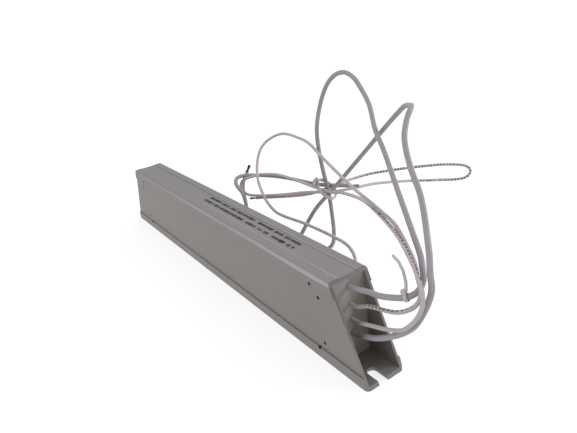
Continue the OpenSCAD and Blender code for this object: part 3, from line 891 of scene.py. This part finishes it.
@dataclass
class Lead:
    """One sleeved lead, from its crimp out through the closure and round its loops to its bare end."""

    name: str
    kind: LeadKind
    length: float
    route: tuple[Triple, ...]
    finish: str = ""
    bare_finish: str = "copper"
    spacing: float = 0.0018
    end_spacing: float = 0.020
    bare: float = 0.009
    bare_turns: float = 0.7

    def build(self, trees: GrowthTrees, finishes: Finishes) -> tuple[Object, Object]:
        """Makes and returns the sleeve and the bare strands."""
        wire = self.kind.value
        path = smooth_path(self.route, self.spacing)
        self.path = [tuple(point) for point in path]
        name = self.name + "_sleeve"
        mesh = sleeve_mesh(name, path, wire.sleeve / 2, wire.sides)
        sleeve = place_piece(name, mesh, [self.node("lead")])
        finishes.dress(sleeve, self.finish or wire.slot)
        coarse = smooth_path(self.route, self.end_spacing)
        ahead = (coarse[-1] - coarse[-2]).normalized()
        place = Matrix.Translation(path[-1]) @ ahead.to_track_quat("Z", "Y").to_matrix().to_4x4()
        inputs = {"Length": self.bare, "Radius": wire.conductor / 2, "Splay": wire.splay,
                  "Strand": wire.strand, "Count": wire.strands, "Turns": self.bare_turns,
                  "Material": finishes.materials[self.bare_finish]}
        name = self.name + "_strands"
        mesh = grown(trees.strands, name, inputs, place)
        return sleeve, place_piece(name, mesh, [self.node("end")])

    def node(self, part: str) -> str:
        """Returns the name of the CAD node for the lead or its end."""
        kind, row = self.name.split("_")
        return f"{kind}_{part}_{row}"

    def declare(self, sleeve: Object, carried: Sequence[Object]) -> None:
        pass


@dataclass
class Ties:
    """The strap round the middle of the bundle, and the small one at the first bend."""

    centre: Triple = (0.054, 0.103, 0.077)
    turn: Triple = (math.pi, math.radians(45), math.radians(41))
    radius: float = 0.0116
    strap: float = 0.0012
    tooth_rise: float = 0.0014
    tooth_start: float = 0.0034
    tooth: dict[str, float] = field(default_factory=lambda: {
        "Count": 10, "Pitch": 0.0011, "Height": 0.0004, "Width": 0.0026, "Base": 0.0006})
    rounding: float = 0.0003

    def build(self, trees: GrowthTrees, finishes: Finishes) -> tuple[Object, Object]:
        """Makes and returns both straps, and makes the teeth on the tail of the bundle's."""
        straps = []
        for node in ("bundle_tie", "lead_tie"):
            strap = place_piece(node + "_strap", softened_copy(node, self.rounding), [node])
            finishes.dress(strap, "nylon")
            straps.append(strap)
        turned = Matrix.Translation(self.centre)
        for angle, axis in zip(reversed(self.turn), "ZYZ"):
            turned = turned @ Matrix.Rotation(angle, 4, axis)
        start = Matrix.Translation((self.radius + self.strap + self.tooth_rise, self.tooth_start, 0.0))
        inputs = {**self.tooth, "Material": finishes.materials["nylon"]}
        teeth = grown(trees.teeth, "tie_teeth", inputs, turned @ start)
        place_piece("tie_teeth", teeth, ["bundle_tie"])
        return straps[0], straps[1]


@dataclass
class Harness:
    """The four leads, looped and tied in the middle."""

    leads: tuple[Lead, ...] = field(default_factory=lambda: (
        Lead("power_upper", LeadKind.POWER, 0.998, POWER_UPPER_ROUTE),
        Lead("power_lower", LeadKind.POWER, 1.017, POWER_LOWER_ROUTE, bare_finish="copper_clean"),
        Lead("switch_upper", LeadKind.SWITCH, 0.989, SWITCH_UPPER_ROUTE),
        Lead("switch_lower", LeadKind.SWITCH, 1.132, SWITCH_LOWER_ROUTE, finish="switch_sleeve_lower"),
    ))
    ties: Ties = field(default_factory=Ties)
    tied: str = "power_upper"

    def build(self, trees: GrowthTrees, finishes: Finishes) -> None:
        made = [(lead, *lead.build(trees, finishes)) for lead in self.leads]
        straps = self.ties.build(trees, finishes)
        for lead, sleeve, strands in made:
            lead.declare(sleeve, (strands, *straps) if lead.name == self.tied else (strands,))


# ---- Body ----


@dataclass
class Housing:
    """The extruded body with its print."""

    rounding: float = 0.0003
    channel_floor: float = 0.0795
    print_start: float = -0.026
    print_rows: Span = (-0.0030, 0.0045)
    dash: dict[str, float] = field(default_factory=lambda: {
        "Count": 63, "Pitch": 0.0027, "Length": 0.0027, "Width": 0.0040, "Thickness": 0.00006,
        "Shortest": 0.62, "Kept": 0.84})

    def build(self, trees: GrowthTrees, finishes: Finishes) -> None:
        """Makes the shell with softened edges, and the printed rows in its top channel."""
        shell = place_piece("housing_shell", softened_copy("housing", self.rounding), ["housing"])
        finishes.dress(shell, "housing")
        for number, y in enumerate(self.print_rows, start=1):
            place = Matrix.Translation((self.print_start, y, self.channel_floor))
            name = f"printed_row_{number}"
            inputs = {**self.dash, "Seed": number, "Material": finishes.materials["ink"]}
            place_piece(name, grown(trees.marks, name, inputs, place))


SEALED = {
    "cement": ("front_plug", "rear_plug"),
    "barrier": ("front_barrier", "rear_barrier"),
    "mica": ("mica_liner_near", "mica_liner_far"),
    "sand": ("sand_fill",),
    "core": ("core_upper", "core_lower"),
    "winding": ("winding_upper", "winding_lower"),
    "steel_caps": ("front_cap_upper", "front_cap_lower", "rear_cap_upper", "rear_cap_lower", "series_link"),
    "crimps": ("power_crimp_upper", "power_crimp_lower", "switch_crimp_upper", "switch_crimp_lower"),
    "switch_case": ("switch_case",),
    "switch_cap": ("switch_cap",),
    "blades": ("switch_blade_upper", "switch_blade_lower"),
}


def dress_sealed(finishes: Finishes) -> None:
    """Gives a material to the closures and the sealed inside, whose solids keep their own shapes."""
    for name, nodes in SEALED.items():
        for node in nodes:
            finishes.dress(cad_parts[node], name)


# ---- Studio ----


@dataclass(frozen=True)
class View:
    """The camera, high and close to the end that the leads come out of."""

    place: Triple = (0.48026, -0.21015, 0.28383)
    azimuth: float = -58.544
    elevation: float = 23.804
    roll: float = -8.117
    lens: float = 32.84
    sensor: float = 36.0
    nearest: float = 0.01

    def build(self) -> None:
        """Makes the camera and gives it to the scene."""
        azimuth, elevation, roll = (math.radians(a) for a in (self.azimuth, self.elevation, self.roll))
        ahead = Vector((math.cos(elevation) * math.sin(azimuth), math.cos(elevation) * math.cos(azimuth),
                        -math.sin(elevation)))
        right = ahead.cross(Vector((0.0, 0.0, 1.0))).normalized()
        up = right.cross(ahead)
        across = math.cos(roll) * right + math.sin(roll) * up
        top = -math.sin(roll) * right + math.cos(roll) * up
        lens = bpy.data.cameras.new("view")
        lens.lens = self.lens
        lens.sensor_width = self.sensor
        lens.clip_start = self.nearest
        camera = add_object("view", lens)
        turn = Matrix((across, top, -ahead)).transposed().to_4x4()
        camera.matrix_world = Matrix.Translation(self.place) @ turn
        bpy.context.scene.camera = camera


@dataclass(frozen=True)
class Lamp:
    """A soft square light that faces the object."""

    name: str
    place: Triple
    size: float
    power: float

    def build(self, target: Triple) -> None:
        """Makes the light and turns it to its target."""
        light = bpy.data.lights.new(self.name, "AREA")
        light.shape = "SQUARE"
        light.size = self.size
        light.energy = self.power
        lamp = add_object(self.name, light)
        spot = Vector(self.place)
        turn = (Vector(target) - spot).to_track_quat("-Z", "Y").to_matrix().to_4x4()
        lamp.matrix_world = Matrix.Translation(spot) @ turn


@dataclass(frozen=True)
class Studio:
    """The pale floor, a sheet lit from below, with the soft lights and the white surroundings."""

    floor_half: float = 40.0
    floor_tone: Colour = (0.32, 0.32, 0.32)
    floor_roughness: float = 0.9
    floor_glow: float = 0.70
    white: Colour = (1.0, 1.0, 1.0)
    sky: float = 1.06
    target: Triple = (0.03, 0.03, 0.05)
    lamps: tuple[Lamp, ...] = (
        Lamp("key", (1.05, 1.25, 0.75), 0.5, 9.0),
        Lamp("fill", (-0.30, -1.60, 0.90), 1.6, 4.0),
    )

    def build(self) -> None:
        """Makes the floor, the lights and the surroundings."""
        self._lay_floor()
        for lamp in self.lamps:
            lamp.build(self.target)
        world = bpy.data.worlds.new("surroundings")
        world.use_nodes = True
        sky = world.node_tree.nodes["Background"]
        sky.inputs["Color"].default_value = (*self.white, 1.0)
        sky.inputs["Strength"].default_value = self.sky
        bpy.context.scene.world = world
        bpy.context.scene.view_settings.view_transform = "Standard"

    def _lay_floor(self) -> None:
        """Makes the floor, with its own faint light."""
        mesh = bpy.data.meshes.new("floor")
        half = self.floor_half
        corners = [(-half, -half, 0.0), (half, -half, 0.0), (half, half, 0.0), (-half, half, 0.0)]
        mesh.from_pydata(corners, [], [(0, 1, 2, 3)])
        floor = add_object("floor", mesh)
        paint = bpy.data.materials.new("floor")
        paint.use_nodes = True
        shader = paint.node_tree.nodes["Principled BSDF"]
        for name, value in (("Base Color", (*self.floor_tone, 1.0)), ("Roughness", self.floor_roughness),
                            ("Specular IOR Level", 0.0), ("Emission Color", (*self.white, 1.0)),
                            ("Emission Strength", self.floor_glow)):
            shader.inputs[name].default_value = value
        mesh.materials.append(paint)


def main() -> None:
    """Builds the resistor and the scene round it."""
    logging.basicConfig(level=logging.INFO, format="%(name)s: %(message)s")
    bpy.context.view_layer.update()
    View().build()
    trees = GrowthTrees()
    finishes = Finishes()
    Harness().build(trees, finishes)
    Housing().build(trees, finishes)
    dress_sealed(finishes)
    Studio().build()


if __name__ == "__main__":
    main()
